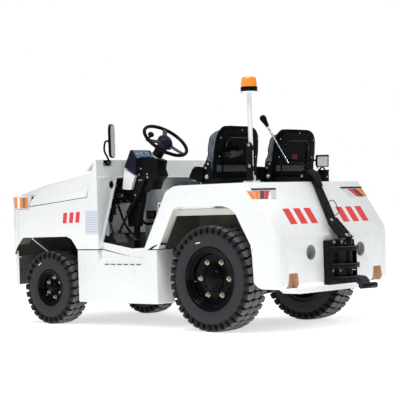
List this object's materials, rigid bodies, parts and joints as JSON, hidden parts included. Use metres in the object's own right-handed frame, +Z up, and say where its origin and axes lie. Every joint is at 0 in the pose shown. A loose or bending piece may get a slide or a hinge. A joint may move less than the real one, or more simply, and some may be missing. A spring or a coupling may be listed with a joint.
{
  "type": "airport baggage tug",
  "caption": "Open white tow tractor with a low hood, seats between box fenders, a sloped counterweight tail and a towing jaw with a lifting pin.",
  "frame": {"origin": "on the floor under the centre of the overall length and width", "axes": "+X forward, +Y to the driver's left, +Z up"},
  "size_m": [3.016, 1.32, 1.8329],
  "materials": {
    "amber_lens": "clear amber",
    "black_paint": "satin black",
    "black_plastic": "black",
    "body_paint": "gloss white",
    "cast_metal": "rough dark",
    "hood_paint": "gloss white",
    "inner_paint": "satin pale grey",
    "lamp_lens": "segmented amber, red and clear",
    "mat": "ribbed black",
    "mirror": "silvered",
    "rim_paint": "gloss black",
    "seat_shell": "black moulded shell",
    "seat_vinyl": "black and slate vinyl",
    "steel": "bright",
    "tyre": "matte black"
  },
  "bodies": {
    "chassis": {"beacon_base": "black_plastic", "beacon_lens": "amber_lens", "beacon_pole": "body_paint", "belt_bracket": "black_plastic", "chassis_frame": "black_paint", "column_cover": "body_paint", "corner_lamp_left": "lamp_lens", "corner_lamp_right": "lamp_lens", "cowl": "body_paint", "cross_beam_front": "black_paint", "cross_beam_rear": "black_paint", "engine_block": "cast_metal", "engine_cover": "inner_paint", "floor_mat_left": "mat", "floor_mat_right": "mat", "floor_pan": "inner_paint", "front_axle": "black_paint", "front_fender_left": "body_paint", "front_fender_right": "body_paint", "hitch_block": "black_paint", "instrument_box": "black_plastic", "mirror_arm": "black_paint", "mirror_head": "mirror", "nose_panel": "body_paint", "pedal_set": "black_paint", "rear_axle": "black_paint", "rear_body": "body_paint", "release_lever": "black_paint", "seat_back_driver": "seat_shell", "seat_back_passenger": "seat_shell", "seat_base": "inner_paint", "seat_cushion_driver": "seat_vinyl", "seat_cushion_passenger": "seat_vinyl", "side_box_left": "body_paint", "side_box_right": "body_paint", "steering_column": "black_paint", "tail_lamp_left": "lamp_lens", "tail_lamp_right": "lamp_lens", "work_lamp": "black_plastic"},
    "hood_lid": {"hood": "hood_paint"},
    "steer_left": {"knuckle_left": "cast_metal"},
    "steer_right": {"knuckle_right": "cast_metal"},
    "front_wheel_left": {"front_tyre_left": "tyre", "front_rim_left": "rim_paint"},
    "front_wheel_right": {"front_tyre_right": "tyre", "front_rim_right": "rim_paint"},
    "rear_wheel_left": {"rear_tyre_left": "tyre", "rear_rim_left": "rim_paint"},
    "rear_wheel_right": {"rear_tyre_right": "tyre", "rear_rim_right": "rim_paint"},
    "hand_wheel": {"steering_wheel": "black_plastic"},
    "tow_pin": {"hitch_pin": "steel"}
  },
  "joints": [
    {"name": "left_steer", "type": "hinge", "parent": "chassis", "child": "steer_left", "pos_m": [1.053, 0.415, 0.294], "axis": [0, 0, 1], "range_deg": [-30, 30]},
    {"name": "right_steer", "type": "hinge", "parent": "chassis", "child": "steer_right", "pos_m": [1.053, -0.415, 0.294], "axis": [0, 0, 1], "range_deg": [-30, 30]},
    {"name": "front_left_roll", "type": "hinge", "parent": "steer_left", "child": "front_wheel_left", "pos_m": [1.053, 0.536, 0.294], "axis": [0, 1, 0], "continuous": true},
    {"name": "front_right_roll", "type": "hinge", "parent": "steer_right", "child": "front_wheel_right", "pos_m": [1.053, -0.536, 0.294], "axis": [0, 1, 0], "continuous": true},
    {"name": "rear_left_roll", "type": "hinge", "parent": "chassis", "child": "rear_wheel_left", "pos_m": [-0.68, 0.542, 0.384], "axis": [0, 1, 0], "continuous": true},
    {"name": "rear_right_roll", "type": "hinge", "parent": "chassis", "child": "rear_wheel_right", "pos_m": [-0.68, -0.542, 0.384], "axis": [0, 1, 0], "continuous": true},
    {"name": "hand_wheel_turn", "type": "hinge", "parent": "chassis", "child": "hand_wheel", "pos_m": [-0.011, 0.34, 1.416], "axis": [-0.6561, 0, 0.7547], "range_deg": [-540, 540]},
    {"name": "hood_lift", "type": "hinge", "parent": "chassis", "child": "hood_lid", "pos_m": [0.554, 0, 1.204], "axis": [0, -1, 0], "range_deg": [0, 55]},
    {"name": "pin_lift", "type": "slide", "parent": "chassis", "child": "tow_pin", "axis": [0, 0, 1], "range_m": [0, 0.13]}
  ],
  "couplings": [
    {"joint": "left_steer", "follows": "hand_wheel_turn", "ratio": 0.0555},
    {"joint": "right_steer", "follows": "hand_wheel_turn", "ratio": 0.0555}
  ]
}
